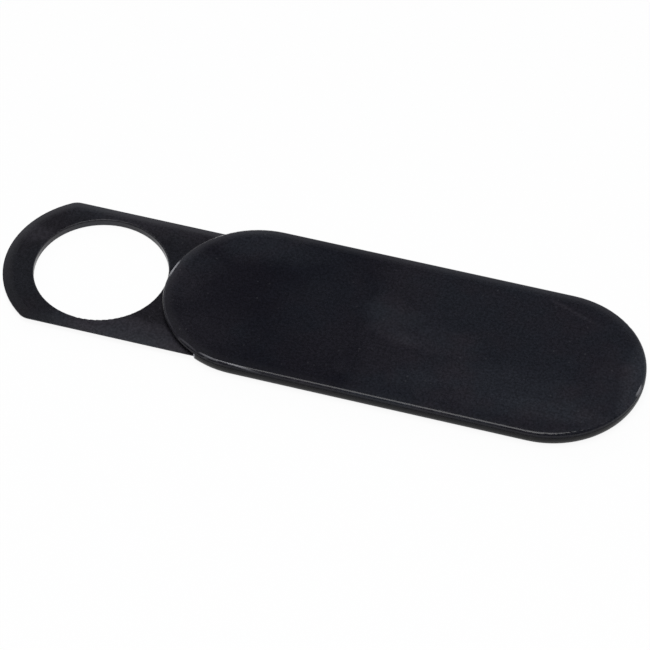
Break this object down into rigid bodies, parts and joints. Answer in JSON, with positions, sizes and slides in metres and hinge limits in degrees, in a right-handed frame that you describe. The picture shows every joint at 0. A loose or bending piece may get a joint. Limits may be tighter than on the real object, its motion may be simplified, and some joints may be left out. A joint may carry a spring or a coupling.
{
  "type": "webcam cover slider",
  "caption": "Thin black sliding webcam cover: a round-ended cover runs along an adhesive-backed strip to open or shut a round lens hole.",
  "frame": {"origin": "the lens hole's axis where it meets the mounting face, which is the adhesive pad's underside", "axes": "+X along the slide from the lens hole towards the open cover, +Z out of the mounting face"},
  "size_m": [0.049, 0.014, 0.0014],
  "materials": {
    "plate_plastic": "fine spark-eroded matte, near black",
    "frame_plastic": "satin moulded, near black",
    "strip_plastic": "fine matte, near black",
    "adhesive": "milky double-sided tissue tape"
  },
  "bodies": {
    "base": {"base_strip": "strip_plastic", "adhesive_pad": "adhesive"},
    "cover": {"top_plate": "plate_plastic", "rail_frame": "frame_plastic"}
  },
  "joints": [
    {"name": "cover_slide", "type": "slide", "parent": "base", "child": "cover", "axis": [-1, 0, 0], "range_m": [0, 0.01255]}
  ]
}
